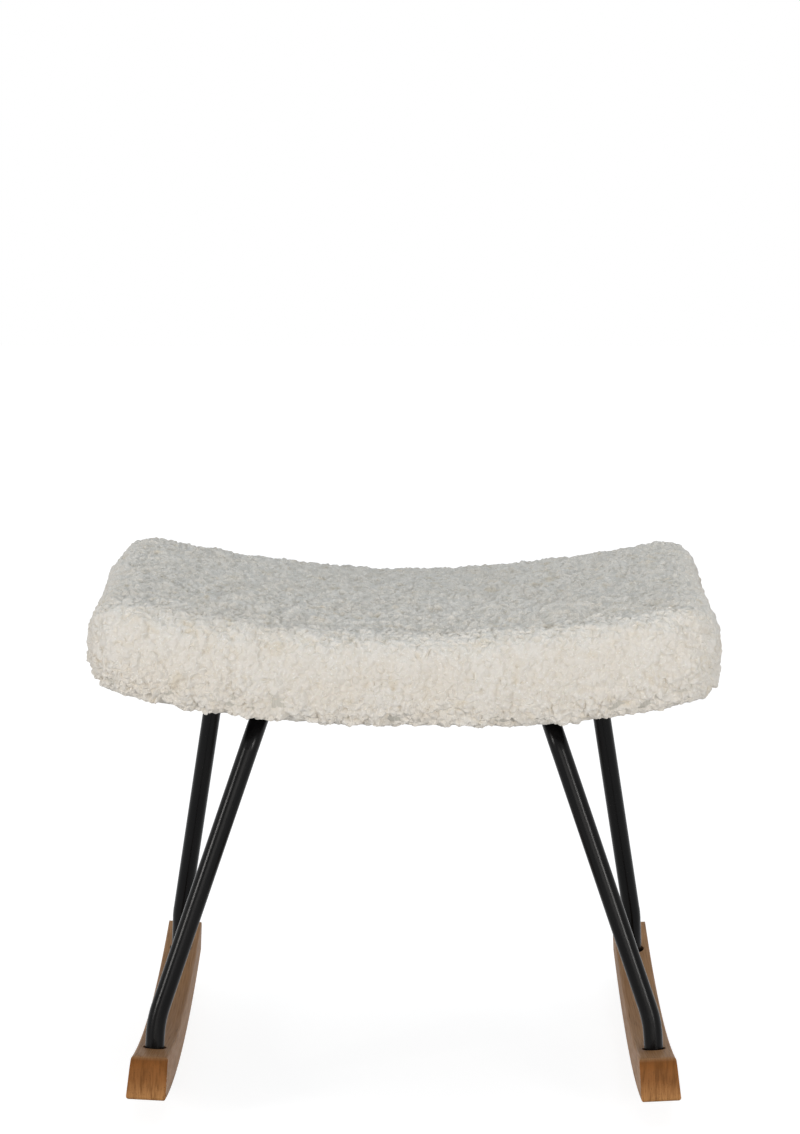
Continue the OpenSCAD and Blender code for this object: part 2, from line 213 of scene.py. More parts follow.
# %% [markdown]
# ## Zinc plate
#
# Washers, inserts, tee nuts and staples are zinc plated: a pale metal with a
# cloudy, slightly blue sheen and fine brushing. A stretched noise brushes the
# metal, and a wide one clouds it.

# %% Zinc
zinc, tree, shader = start_finish("zinc_plate", (0.62, 0.63, 0.65), 0.35, Metallic=1.0)
brushing = noise_at(tree, stretched(tree, (1, 1, 14)), 420, 3)
cloud = noise_at(tree, stretched(tree), 140, 2)
feed(tree, shader, "Roughness", step_ramp(tree, brushing, [(0.3, 0.26), (0.7, 0.46)]))
feed(tree, shader, "Base Color", mix_colors(
    tree, cloud, (0.52, 0.53, 0.56, 1), (0.70, 0.70, 0.69, 1)
))
add_bump(tree, shader, brushing, 0.00004, 0.5)

# %% [markdown]
# ## Oak that follows the curve
#
# Each rocker is sawn or bent so that its grain runs along the arc. Plain XYZ
# coordinates would leave straight lines on a bent bar, so the material first
# works out three lengths from Object coordinates: how far along the arc a
# point lies, how deep under the top, and how far across. The growth rings
# stand upright in the bar: they are fine lines on the top, upright streaks on
# the end grain and wide, wandering figures on the sides. The end grain is
# redder, and is painted darker towards the top and lighter towards the bottom:
# partly the wood's own tone and partly painted light, the white floor's bounce
# lighting the lower edge.

# %% Oak's coordinates and patterns
ROCKER_R = 1.110
ROCKER_H = 0.035
RING_PITCH = 0.0023
WANDER = 0.011
WANDER_FINE = 0.0012

oak, tree, shader = start_finish(
    "oiled_oak", (0.40, 0.22, 0.10), 0.55, Specular_IOR_Level=0.12
)
oak_x, oak_y, oak_z = split_coords(tree)
below = do_math(tree, "SUBTRACT", ROCKER_R, oak_z)
arc_angle = do_math(tree, "ARCTAN2", oak_y, below)
along = do_math(tree, "MULTIPLY", arc_angle, ROCKER_R)
from_axis = distance_from_axis(tree, below, oak_y)
depth = do_math(tree, "SUBTRACT", from_axis, ROCKER_R - ROCKER_H)
in_bar = add_node(tree, "CombineXYZ", {0: oak_x, 1: along, 2: depth})

wander = noise_at(tree, stretched(tree, (1, 0.16, 0.5), in_bar), 42, 3)
wander_fine = noise_at(tree, stretched(tree, (1, 0.05, 0.6), in_bar), 260, 2)
shift = do_math(
    tree, "ADD", do_math(tree, "MULTIPLY", wander, WANDER),
    do_math(tree, "MULTIPLY", wander_fine, WANDER_FINE),
)
across = do_math(tree, "ADD", oak_x, shift)
ring_phase = do_math(tree, "FRACT", do_math(tree, "DIVIDE", across, RING_PITCH))
late_wood = step_ramp(
    tree, ring_phase, [(0.0, 0.85), (0.18, 0.25), (0.6, 0.1), (0.93, 0.55), (1.0, 0.85)]
)
fibers = noise_at(tree, stretched(tree, (1, 0.02, 1), in_bar), 1500, 2)
pores = noise_at(tree, stretched(tree, (1, 0.035, 1), in_bar), 900, 1)
pore_mask = step_ramp(tree, pores, [(0.0, 0.0), (0.61, 0.0), (0.68, 1.0)])
pore_lines = do_math(tree, "MULTIPLY", pore_mask, late_wood)
patches = noise_at(tree, stretched(tree, (1, 0.25, 1), in_bar), 30, 2)
bands = noise_at(tree, stretched(tree, (1, 0.02, 0.16), in_bar), 230, 3, 0.65)

_, normal_y, normal_z = split_coords(tree, "Normal")
tangent_share = do_math(
    tree, "ADD", do_math(tree, "MULTIPLY", normal_y, do_math(tree, "COSINE", arc_angle)),
    do_math(tree, "MULTIPLY", normal_z, do_math(tree, "SINE", arc_angle)),
)
end_grain = step_ramp(tree, do_math(tree, "ABSOLUTE", tangent_share), [(0.3, 0.0), (0.7, 1.0)])

# %% Oak's colours
long_color = mix_colors(tree, late_wood, (0.41, 0.222, 0.104, 1), (0.275, 0.137, 0.055, 1))
for pattern, stops, tint in (
    (fibers, [(0.35, 0.0), (0.7, 0.5)], (0.25, 0.12, 0.047, 1)),
    (patches, [(0.35, 0.0), (0.7, 0.45)], (0.48, 0.265, 0.122, 1)),
    (bands, [(0.5, 0.0), (0.75, 0.5)], (0.23, 0.105, 0.04, 1)),
):
    long_color = tinted(tree, long_color, pattern, stops, tint)

# painted light: the end grain turns lighter towards the bottom, partly the wood's own tone and partly
# the floor's bounce light painted in
depth_share = do_math(tree, "DIVIDE", depth, ROCKER_H)
bounce_and_tone_share = step_ramp(tree, depth_share, [(0.05, 0.0), (0.5, 0.2), (0.95, 1.0)])
end_color = mix_colors(tree, bounce_and_tone_share, (0.235, 0.085, 0.02, 1), (0.48, 0.235, 0.085, 1))
late_tint = do_math(tree, "MULTIPLY", late_wood, 0.45)
end_color = mix_colors(tree, late_tint, end_color, (0.19, 0.07, 0.016, 1))
end_color = tinted(tree, end_color, bands, [(0.47, 0.0), (0.66, 0.7)], (0.13, 0.048, 0.01, 1))

wood_color = mix_colors(tree, end_grain, long_color, end_color)
pore_tint = do_math(tree, "MULTIPLY", pore_lines, 0.75)
wood_color = mix_colors(tree, pore_tint, wood_color, (0.09, 0.042, 0.016, 1))
feed(tree, shader, "Base Color", wood_color)
feed(tree, shader, "Roughness", step_ramp(tree, fibers, [(0.3, 0.46), (0.7, 0.64)]))
fiber_height = do_math(tree, "MULTIPLY", fibers, 0.5)
add_bump(tree, shader, do_math(tree, "SUBTRACT", fiber_height, pore_lines), 0.00018, 0.6)

# %% [markdown]
# ## Plywood, foam, wadding and the dust cover's cloth
#
# These are hidden in use, but each has its own look when the stool is turned
# over or taken apart: plies show as stripes on the board's edge, foam has
# open cells, wadding is a tangle of white fibres, and the dust cover is a
# black non-woven cloth pressed with a grid of tiny dots.

# %% Board and padding finishes
SADDLE_R = 1.117
SADDLE_Z = 1.443
PLY = 0.0015

plywood, tree, shader = start_finish("bent_plywood", (0.62, 0.45, 0.27), 0.6)
board_x, _, board_z = split_coords(tree)
to_axis = do_math(tree, "SUBTRACT", SADDLE_Z, board_z)
from_axis = distance_from_axis(tree, to_axis, board_x)
ply_phase = do_math(tree, "FRACT", do_math(tree, "DIVIDE", from_axis, 2 * PLY))
ply = step_ramp(tree, ply_phase, [(0.0, 0.0), (0.47, 0.05), (0.53, 0.95), (1.0, 1.0)])
grain = noise_at(tree, stretched(tree, (1, 0.06, 1)), 330, 3)
face_color = mix_colors(tree, grain, (0.66, 0.48, 0.29, 1), (0.50, 0.34, 0.19, 1))
ply_tint = do_math(tree, "MULTIPLY", ply, 0.55)
feed(tree, shader, "Base Color", mix_colors(tree, ply_tint, face_color, (0.36, 0.23, 0.12, 1)))
add_bump(tree, shader, grain, 0.0002, 0.5)

foam_finish, tree, shader = start_finish("open_cell_foam", (0.80, 0.70, 0.42), 0.95)
cells = add_node(tree, "TexVoronoi", {"Vector": stretched(tree), "Scale": 850.0})
feed(tree, shader, "Base Color", tinted(
    tree, (0.52, 0.43, 0.21, 1), cells, [(0.1, 0.0), (0.7, 1.0)], (0.84, 0.75, 0.47, 1)
))
add_bump(tree, shader, cells, 0.0006)

wadding_finish, tree, shader = start_finish(
    "fibre_wadding", (0.83, 0.83, 0.81), 0.95, Sheen_Weight=0.3
)
tangle = noise_at(tree, stretched(tree), 700, 5, 0.75)
feed(tree, shader, "Base Color", mix_colors(
    tree, tangle, (0.68, 0.68, 0.66, 1), (0.90, 0.90, 0.88, 1)
))
add_bump(tree, shader, tangle, 0.0008)

nonwoven, tree, shader = start_finish(
    "black_nonwoven", (0.02, 0.02, 0.021), 0.85, Specular_IOR_Level=0.25
)
coords = stretched(tree)
dots = add_node(tree, "TexVoronoi", {"Vector": coords, "Scale": 620.0, "Randomness": 0.0})
felt = noise_at(tree, coords, 1100, 4, 0.7)
dot_mask = step_ramp(tree, dots, [(0.2, 1.0), (0.34, 0.0)])
feed(tree, shader, "Base Color", mix_colors(
    tree, do_math(tree, "MULTIPLY", felt, do_math(tree, "SUBTRACT", 1.0, dot_mask)),
    (0.010, 0.010, 0.011, 1), (0.045, 0.045, 0.047, 1)
))
add_bump(tree, shader, do_math(tree, "SUBTRACT", felt, dot_mask), 0.0003)

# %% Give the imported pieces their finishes
finishes = {
    "rocker_left": oak, "rocker_right": oak,
    "side_frame_left": powder_black, "side_frame_right": powder_black,
    "front_crossbar": powder_black, "rear_crossbar": powder_black,
    "leg_inserts": zinc, "rocker_bolts": zinc, "rocker_bolt_washers": zinc,
    "seat_bolts": bolt_black, "seat_bolt_washers": zinc, "tee_nuts": zinc,
    "seat_board": plywood, "cover_staples": zinc, "dust_cover_staples": zinc,
}
for name, finish in finishes.items():
    nodes[name].data.materials.clear()
    nodes[name].data.materials.append(finish)
print("finished CAD pieces:", len(finishes))

# %% [markdown]
# ## The seat's soft body
#
# The padded seat is a rounded, bent box. It could be a scaled cube with a
# bevel, but its edge is a soft roll that is wider above than below. So it is
# drawn as an upholsterer thinks of it: a small ring in the middle of the top
# is pulled outwards over the crown, down round the roll and back in under
# the board. Each step extrudes the ring's edges and moves them. Height is
# kept above the seat's underside, and the last step bends all of it to the
# saddle's arc.

# %% Helpers that limit and fade a value
def clamp(value, low=0.0, high=1.0):
    return max(low, min(high, value))


def smooth(value):
    """0 below 0, 1 above 1 and an even curve between them."""
    value = clamp(value)
    return value * value * (3 - 2 * value)


def bell(value, middle, reach):
    """1 at the middle, about a third at reach from it, and next to nothing far away."""
    return math.exp(-((value - middle) / reach) ** 2)


# %% Draw the seat
HALF_W = 0.261
HALF_D = 0.197
SEAT_T = 0.076
CROWN = 0.005
TOP_ROLL = 0.034
LOW_ROLL = 0.022
BULGE_H = 0.034
CORNER_R = 0.038
HEM_W = 0.038
WINDOW = LOW_ROLL + HEM_W
ARC_STEPS = 10
SIDE_STEPS = 40
TOP_ROLL_STEPS = 8
LOW_ROLL_STEPS = 7
CROWN_SHARES = (0.1, 0.25, 0.4, 0.55, 0.7, 0.85)
UNDERSIDE_SHARES = (1, 0.8, 0.6, 0.4, 0.2)


def saddle_height(x, height):
    """Z of a point at x that lies height above the seat's underside."""
    return SADDLE_Z - math.sqrt((SADDLE_R - height) ** 2 - x * x)


def above_underside(place):
    """How high a point lies above the seat's underside."""
    return place.z - saddle_height(place.x, 0.0)


def widest_outline():
    """Points round the seat in plan, each with its outward direction."""
    corners = []
    for quarter, (x_sign, y_sign) in enumerate(((1, 1), (-1, 1), (-1, -1), (1, -1))):
        centre = Vector((x_sign * (HALF_W - CORNER_R), y_sign * (HALF_D - CORNER_R)))
        angles = [math.pi / 2 * (quarter + step / ARC_STEPS) for step in range(ARC_STEPS + 1)]
        outward = [Vector((math.cos(angle), math.sin(angle))) for angle in angles]
        corners.append([(centre + CORNER_R * out, out) for out in outward])
    outline = []
    for corner, following in zip(corners, corners[1:] + corners[:1]):
        outline += corner
        start, out = corner[-1]
        for step in range(1, SIDE_STEPS):
            outline.append((start.lerp(following[0][0], step / SIDE_STEPS), out))
    return outline


def inset_point(spot, inset, share):
    """A point of the outline moved in by inset, then drawn to the middle by share."""
    place, outward = spot
    x, y = place - inset * outward
    x = clamp(x, inset - HALF_W, HALF_W - inset)
    y = clamp(y, inset - HALF_D, HALF_D - inset)
    return x * share, y * share


def seat_rings(shrink):
    """(inset, share, height) of each ring, from the top's middle to the underside's."""
    top = SEAT_T - shrink
    rings = [(TOP_ROLL, share, top + CROWN * (1 - share ** 2)) for share in CROWN_SHARES]
    for step in range(TOP_ROLL_STEPS + 1):
        angle = math.pi / 2 * (1 - step / TOP_ROLL_STEPS)
        inset = TOP_ROLL - (TOP_ROLL - shrink) * math.cos(angle)
        rings.append((inset, 1, BULGE_H + (top - BULGE_H) * math.sin(angle)))
    for step in range(1, LOW_ROLL_STEPS + 1):
        angle = math.pi / 2 * step / LOW_ROLL_STEPS
        inset = LOW_ROLL - (LOW_ROLL - shrink) * math.cos(angle)
        rings.append((inset, 1, BULGE_H * (1 - math.sin(angle))))
    return rings + [(WINDOW, share, 0.0) for share in UNDERSIDE_SHARES]


def pull_seat(shrink):
    """The seat as one closed body, shrink metres inside its finished surface."""
    outline = widest_outline()
    rings = seat_rings(shrink)
    body = bmesh.new()
    spot_of = body.verts.layers.int.new("spot")
    first = [body.verts.new((*inset_point(spot, *rings[0][:2]), rings[0][2])) for spot in outline]
    for index, vert in enumerate(first):
        vert[spot_of] = index
    border = [body.edges.new(pair) for pair in zip(first, first[1:] + first[:1])]
    body.faces.new(first)
    for inset, share, height in rings[1:]:
        pulled = bmesh.ops.extrude_edge_only(body, edges=border)["geom"]
        verts = {g for g in pulled if isinstance(g, bmesh.types.BMVert)}
        for vert in verts:
            vert.co = (*inset_point(outline[vert[spot_of]], inset, share), height)
        border = [edge for edge in body.edges if edge.verts[0] in verts and edge.verts[1] in verts]
    bmesh.ops.holes_fill(body, edges=border)
    bmesh.ops.recalc_face_normals(body, faces=body.faces)
    for vert in body.verts:
        vert.co.z = saddle_height(vert.co.x, vert.co.z)
    return body


# %% [markdown]
# ## Let the padding swell
#
# A drawn cushion looks machined. Real padding pushes the cloth outwards until
# the cloth's own tension stops it. Blender's Cloth with some pressure does
# that: the body is remeshed into even squares, its underside is pinned to the
# board, and twenty frames of simulation blow it up a little. It starts 1.5 mm
# too small. What the simulation gives is taken along each point's own
# direction and fades out towards 3 mm, so that the seat ends at its real
# size, and the foam inside hardly lets a point sink.

# %% Helpers for mesh objects
def add_piece(name, body, material):
    """Turns a bmesh into an object at the origin that rides with the stool."""
    mesh = bpy.data.meshes.new(name)
    body.to_mesh(mesh)
    body.free()
    piece = bpy.data.objects.new(name, mesh)
    scene.collection.objects.link(piece)
    mesh.materials.append(material)
    mesh.polygons.foreach_set("use_smooth", [True] * len(mesh.polygons))
    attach(piece, "root")
    return piece


def apply_modifiers(piece):
    """Keeps the mesh that the modifiers make, and drops them."""
    depsgraph = bpy.context.evaluated_depsgraph_get()
    finished = bpy.data.meshes.new_from_object(piece.evaluated_get(depsgraph))
    piece.modifiers.clear()
    piece.data = finished


def apply_subdivision(piece, levels):
    """Rounds a mesh with smooth subdivision and keeps the result."""
    rounding = piece.modifiers.new("rounding", "SUBSURF")
    rounding.levels = rounding.render_levels = levels
    apply_modifiers(piece)


def give_thickness(piece, thickness, offset, back_material=0):
    """Turns a surface into a cloth wall. Its back takes the material back_material further on."""
    wall = piece.modifiers.new("cloth wall", "SOLIDIFY")
    wall.thickness = thickness
    wall.offset = offset
    wall.material_offset = back_material
    apply_modifiers(piece)


# %% Remesh and simulate the padded seat
SWELL_START = 0.0015
SWELL_LIMIT = 0.003
SWELL_PRESSURE = 0.5
SWELL_FRAMES = 20
FOAM_GIVE = 0.2
HELD_H = 0.012
HELD_FADE = 0.008
SQUARE = 0.006

teddy, teddy_tree, teddy_shader = start_finish(
    "teddy_fabric", (0.78, 0.74, 0.66), 0.95,
    Sheen_Weight=0.15, Sheen_Roughness=0.6, Specular_IOR_Level=0.15
)
seat = add_piece("teddy_cover", pull_seat(SWELL_START), teddy)
remesh = seat.modifiers.new("even squares", "REMESH")
remesh.mode = "VOXEL"
remesh.voxel_size = SQUARE
apply_modifiers(seat)


def swell(piece):
    """Blows the piece up with cloth pressure, by SWELL_LIMIT at the most."""
    start = [(vert.co.copy(), vert.normal.copy()) for vert in piece.data.vertices]
    held = piece.vertex_groups.new(name="held by the board")
    for vert in piece.data.vertices:
        held.add([vert.index], clamp((HELD_H - above_underside(vert.co)) / HELD_FADE), "REPLACE")
    cloth = piece.modifiers.new("cloth", "CLOTH")
    cloth.settings.vertex_group_mass = held.name
    cloth.settings.use_pressure = True
    cloth.settings.uniform_pressure_force = SWELL_PRESSURE
    cloth.settings.effector_weights.gravity = 0
    for step in range(1, SWELL_FRAMES + 1):
        scene.frame_set(step)
    depsgraph = bpy.context.evaluated_depsgraph_get()
    swollen = [vert.co.copy() for vert in piece.evaluated_get(depsgraph).data.vertices]
    piece.modifiers.clear()
    piece.vertex_groups.clear()
    moves = []
    for vert, (before, normal), after in zip(piece.data.vertices, start, swollen):
        way = (after - before).dot(normal)
        way = SWELL_LIMIT * (1 - math.exp(-way / SWELL_LIMIT)) if way > 0 else way * FOAM_GIVE
        moves.append(way * 1000)
        vert.co = before + normal * way
    scene.frame_set(1)
    print("swell: from", round(min(moves), 2), "to", round(max(moves), 2), "mm, mean",
          round(sum(moves) / len(moves), 2))


swell(seat)
apply_subdivision(seat, 1)
print("seat squares:", len(seat.data.polygons))

# %% [markdown]
# ## From a solid body to a cloth cover
#
# The cover is cloth, not a block: it wraps the padding, turns in under the
# board and ends at a straight cut edge. The underside is cut along the hem's
# four lines, what lies inside them is removed, and Solidify gives the cloth
# its thickness inwards. The inside gets a second material, the smooth knitted
# back of the pile.

# %% Cut the window under the seat and give the cloth its thickness
CLOTH_T = 0.003
UNDERSIDE_H = 0.004
CUT_DIST = 1e-6

backing, tree, shader = start_finish("knitted_backing", (0.72, 0.69, 0.62), 0.9)
knit = add_node(
    tree, "TexWave", {"Vector": stretched(tree), "Scale": 260.0, "Distortion": 3.0}
)
feed(tree, shader, "Base Color", mix_colors(
    tree, knit, (0.60, 0.57, 0.50, 1), (0.76, 0.73, 0.66, 1)
))
add_bump(tree, shader, knit, 0.0003)


def under_board(face):
    centre = face.calc_center_median()
    inside = abs(centre.x) < HALF_W - LOW_ROLL and abs(centre.y) < HALF_D - LOW_ROLL
    return inside and above_underside(centre) < UNDERSIDE_H


body = bmesh.new()
body.from_mesh(seat.data)
for side in (-1, 1):
    for place, direction in (((side * (HALF_W - WINDOW), 0, 0), (1, 0, 0)),
                             ((0, side * (HALF_D - WINDOW), 0), (0, 1, 0))):
        # dicts keep their order, which sets don't, so the points' order is the same each run
        below = [face for face in body.faces if under_board(face)]
        edges = dict.fromkeys(edge for face in below for edge in face.edges)
        verts = dict.fromkeys(vert for face in below for vert in face.verts)
        bmesh.ops.bisect_plane(
            body, geom=[*below, *edges, *verts],
            plane_co=place, plane_no=direction, dist=CUT_DIST
        )
window = []
for face in body.faces:
    x, y, _ = face.calc_center_median()
    if under_board(face) and abs(x) < HALF_W - WINDOW and abs(y) < HALF_D - WINDOW:
        window.append(face)
bmesh.ops.delete(body, geom=window, context="FACES")
bmesh.ops.recalc_face_normals(body, faces=body.faces)
body.to_mesh(seat.data)
body.free()
seat.data.materials.clear()
seat.data.materials.append(teddy)
seat.data.materials.append(backing)
give_thickness(seat, CLOTH_T, -1, back_material=1)
print("cover squares:", len(seat.data.polygons))

# %% [markdown]
# ## The teddy pile
#
# The pile is what makes this stool: thousands of little curls, 4 to 7 mm
# across, that stand in lumps and throw small shadows. Particle hair would be
# lost in the exported model, and a bump alone gives a smooth outline. So the
# outer cloth is divided into squares of about 1 mm, and curls are planted at
# random, never closer than CURL_PITCH. Each point belongs to its nearest
# curl, and the creases lie where two curls meet. Bending each point's place
# with noise first makes those creases wriggle as fibre does.

# %% Divide the outer cloth and plant the curls
CURL_PITCH = 0.0044
CURL_LIFT = 0.0024
LIFT_SHARES = (0.6, 1.35)
PLANTING_SEED = 11


def is_outer(element):
    """True for a point or an edge of the cloth's outer side."""
    return any(face.material_index == 0 for face in element.link_faces)


body = bmesh.new()
body.from_mesh(seat.data)
planting = [vert.co.copy() for vert in body.verts if is_outer(vert)]
edges = [edge for edge in body.edges if is_outer(edge)]
bmesh.ops.subdivide_edges(body, edges=edges, cuts=2, use_grid_fill=True)

draw = random.Random(PLANTING_SEED)
draw.shuffle(planting)
taken = {}
curls = []
for place in planting:
    cell = tuple(math.floor(c / CURL_PITCH) for c in place)
    near = [p for i in (-1, 0, 1) for j in (-1, 0, 1) for k in (-1, 0, 1)
            for p in taken.get((cell[0] + i, cell[1] + j, cell[2] + k), ())]
    if all((place - other).length > CURL_PITCH for other in near):
        taken.setdefault(cell, []).append(place)
        curls.append((place, CURL_LIFT * draw.uniform(*LIFT_SHARES)))
finder = kdtree.KDTree(len(curls))
for index, (place, _) in enumerate(curls):
    finder.insert(place, index)
finder.balance()
print("curls:", len(curls))

# %% Raise the pile
CREASE = 0.0017
PILE_MEAN = 0.0019
BEND_SIZE = 0.0034
BEND = 0.0016
DEPTH_SIZE = 0.007
DEPTH_MEAN = 0.45
DEPTH_SWING = 1.2
DEPTH_LIMITS = (0.1, 0.9)
DOME = 0.45
LOCK_SIZE = 0.0042
LOCK_LIFT = 0.001
LOCK_REACH = 0.3


def pile_at(place):
    """(height, openness) of the pile: openness is 0 in a deep crease and 1 on a curl."""
    bent = place + BEND * noise.noise_vector(place / BEND_SIZE)
    (_, first, near), (_, second, far) = finder.find_n(bent, 2)
    lift = (curls[first][1] * far + curls[second][1] * near) / (near + far)
    depth = clamp(DEPTH_MEAN + DEPTH_SWING * noise.noise(place / DEPTH_SIZE), *DEPTH_LIMITS)
    openness = 1 - depth * math.exp(-(far - near) / CREASE)
    dome = 1 - DOME * min(1.0, near / CURL_PITCH) ** 2
    lock = bell(noise.noise(bent / LOCK_SIZE), 0, LOCK_REACH)
    return lift * openness * dome + LOCK_LIFT * (lock - 0.5), 0.5 * openness + 0.5 * lock


# %% [markdown]
# The pile also stands in clumps. Small ones give the outline its bumps, and
# wide ones make the seat look hand filled. Along the low edge the clumps hang
# freely and are larger. The filling isn't quite even either. The ends and the
# front are stuffed full, so their edges are squarer, the top has sunk a little
# in the middle, the whole seat sits a little lower at the right end, and its
# lower roll hangs lower there still. Each of these is a small move, in metres,
# that fades out with distance. A name in H is a height above the seat's
# underside, and one in REACH or FADE is the way over which a move fades.

# %% Clumps and uneven filling
CLUMPS = ((0.0075, 0.0016), (0.017, 0.0021))
CLUMP_HANG = 1.5
CLUMP_HANG_H = 0.028
TIGHT = 0.3
TIGHT_H = 0.052
TIGHT_REACH = 0.013
LOOSE = 0.4
LOOSE_H = 0.034
LOOSE_FADE = 0.02
TILT = 0.008
TOP_DIP = 0.0022
DIP_START = 1.2
DIP_FADE = 0.15
ROLL_H = 0.062
ROLL_REACH = 0.015
FULL_ENDS = 0.0042
FULL_RIGHT_Y = 0.13
FULL_LEFT_Y = 0.04
FULL_REACH = 0.08
FULL_FRONT = 0.007
EDGE_W = 0.05
EDGE_FADE = 0.03
HANG_RIGHT = 0.0045
HANG_LEFT = 0.0015
HANG_H = 0.05
HANG_FADE = 0.13
HEM_FADE = 0.02
HEM_H = 0.006
PRESS_START = LOW_ROLL * 0.6
PRESS_FADE = 0.012
PRESSED_SHARE = 0.12
PRESSED_DOWN = 0.0006


def loose_at(above):
    """How loosely the pile stands: flatter on the upper roll, free along the low edge."""
    tight = TIGHT * bell(above, TIGHT_H, TIGHT_REACH)
    return 1 - tight + LOOSE * smooth((LOOSE_H - above) / LOOSE_FADE)


def clump_at(place, above):
    hanging = 1 + CLUMP_HANG * max(0.0, 1 - above / CLUMP_HANG_H)
    return hanging * sum(lift * noise.noise(place / size) for size, lift in CLUMPS)


def filling_move(place, normal, above, inset):
    """How the uneven filling moves a point of the cover. The flat hem stays."""
    high = smooth(above / SEAT_T)
    free = max(high, 1 - smooth((inset - LOW_ROLL) / HEM_FADE))
    dip = TOP_DIP * high * smooth(DIP_START - abs(place.x) / DIP_FADE)
    hang = (HANG_RIGHT if place.x > 0 else HANG_LEFT) * smooth(abs(place.x) / HANG_FADE)
    drop = TILT * place.x * free + dip + hang * free * smooth(1 - above / HANG_H)
    at_end = smooth((abs(place.x) - HALF_W + EDGE_W) / EDGE_FADE)
    at_front = smooth((-place.y - HALF_D + EDGE_W) / EDGE_FADE)
    at_roll = bell(above, ROLL_H, ROLL_REACH)
    full_y = FULL_RIGHT_Y if place.x > 0 else FULL_LEFT_Y
    full = FULL_ENDS * at_end * at_roll * bell(place.y, full_y, FULL_REACH)
    full += FULL_FRONT * at_roll * at_front * (1 - at_end)
    return normal * full - Vector((0, 0, drop))


def pile_share(above, inset):
    """1 where the pile stands free, and little where the hem is pulled flat."""
    if above > HEM_H or inset < PRESS_START:
        return 1.0
    return max(PRESSED_SHARE, 1 - (inset - PRESS_START) / PRESS_FADE)


# %% Move every point of the cover
body.normal_update()
tip = body.verts.layers.float.new("tip")
rim = {vert for face in body.faces if face.material_index == 1 for vert in face.verts}
moves = {}
for vert in body.verts:
    above = above_underside(vert.co)
    inset = min(HALF_W - abs(vert.co.x), HALF_D - abs(vert.co.y))
    moves[vert] = filling_move(vert.co, vert.normal, above, inset)
    if vert in rim:
        continue
    height, vert[tip] = pile_at(vert.co)
    share = pile_share(above, inset)
    height = (height - PILE_MEAN) * loose_at(above) + clump_at(vert.co, above)
    moves[vert] += vert.normal * (height * share - (1 - share) * PRESSED_DOWN)
for vert, move in moves.items():
    vert.co += move
body.to_mesh(seat.data)
body.free()
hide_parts("seat_cover")
mean_shift = sum(move.length for move in moves.values()) / len(moves)
print("cover faces:", len(seat.data.polygons), "mean shift mm:", round(1000 * mean_shift, 2))

# %% [markdown]
# ## The colour of the pile
#
# The curls are cream wool-like fibre. The creases are painted darker than the
# tips, which is painted shade where the curls meet; warm darker blotches at
# random places are painted shade of the pile's hollows, and sparse pale specks
# on the locks are painted highlights. The cloth's own tone is never quite even
# over a hand's width. The mesh carries how high each point lies, as the
# attribute "tip", so the painted shade follows the real lumps. Sheen gives the
# soft edge that fibres have against the light, and a fine noise stands for
# single fibres.

# %% Teddy finish
SWAY = (0.0016, 0.0016, 0.0016)

tree, shader = teddy_tree, teddy_shader
openness = add_node(tree, "Attribute", output="Fac", attribute_name="tip")
coords = stretched(tree)
sway = add_node(tree, "TexNoise", {"Vector": coords, "Scale": 420.0, "Detail": 2.0}, "Color")
bent = add_node(tree, "VectorMath", {0: sway, 1: SWAY, 2: coords}, operation="MULTIPLY_ADD")
locks_and_glints = add_node(tree, "TexVoronoi", {"Vector": bent, "Scale": 520.0}, feature="SMOOTH_F1")
fibres = noise_at(tree, coords, 1500, 4, 0.7)
patches = noise_at(tree, coords, 26, 3)
hollow_shade_blotches = noise_at(tree, coords, 62, 2)
# painted shade: this base is the creases' darker colour, and the first tint below pales it where the
# curls stand open
pile_color = (0.71, 0.66, 0.575, 1)
for pattern, stops, tint in (
    (openness, [(0.1, 0.0), (0.85, 1.0)], (0.80, 0.765, 0.71, 1)),
    (patches, [(0.4, 0.0), (0.65, 0.6)], (0.775, 0.72, 0.64, 1)),
    # painted shade: warm darker blotches at random places stand for shade in the pile's hollows
    (hollow_shade_blotches, [(0.58, 0.0), (0.74, 0.6)], (0.69, 0.605, 0.47, 1)),
    # painted highlight: pale specks near the middle of each lock stand for glints on the curl tips;
    # the same pattern also shapes the bump
    (locks_and_glints, [(0.07, 0.8), (0.26, 0.0)], (0.94, 0.93, 0.905, 1)),
):
    pile_color = tinted(tree, pile_color, pattern, stops, tint)
feed(tree, shader, "Base Color", pile_color)
soft_height = do_math(tree, "SUBTRACT", do_math(tree, "MULTIPLY", fibres, 0.35), locks_and_glints)
add_bump(tree, shader, soft_height, 0.0006, 0.6)

# %% [markdown]
# ## Wadding and foam
#
# Under the cover lie a thin layer of white wadding and a block of foam. They
# only show when the stool is taken apart, but a solid that came from CAD is
# hard-edged, so each is made again from its own packed form: the loose
# triangles are merged, rounded with one subdivision, and roughened with noise.

# %% Soft copies of the hidden padding
MERGE_DIST = 2e-6


def soften(node, name, material, size, lift):
    """A rounded, slightly uneven copy of a packed soft piece, which it replaces."""
    body = bmesh.new()
    body.from_mesh(nodes[node].data)
    bmesh.ops.remove_doubles(body, verts=body.verts, dist=MERGE_DIST)
    piece = add_piece(name, body, material)
    apply_subdivision(piece, 1)
    for vert in piece.data.vertices:
        vert.co -= vert.normal * lift * abs(noise.noise(vert.co / size))
    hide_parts(node)
    print(name, "faces:", len(piece.data.polygons))
    return piece


wadding = soften("seat_wadding", "wadding_layer", wadding_finish, size=0.011, lift=0.0005)
foam = soften("seat_foam", "foam_block", foam_finish, size=0.03, lift=0.0004)

# %% [markdown]
# ## The dust cover
#
# A black non-woven cloth closes the seat from below. It is stapled along its
# edge, lies flat over the crossbars and hangs a hair lower elsewhere. It
# starts as a flat grid, is bent to the saddle, and gets its thickness from
# Solidify.

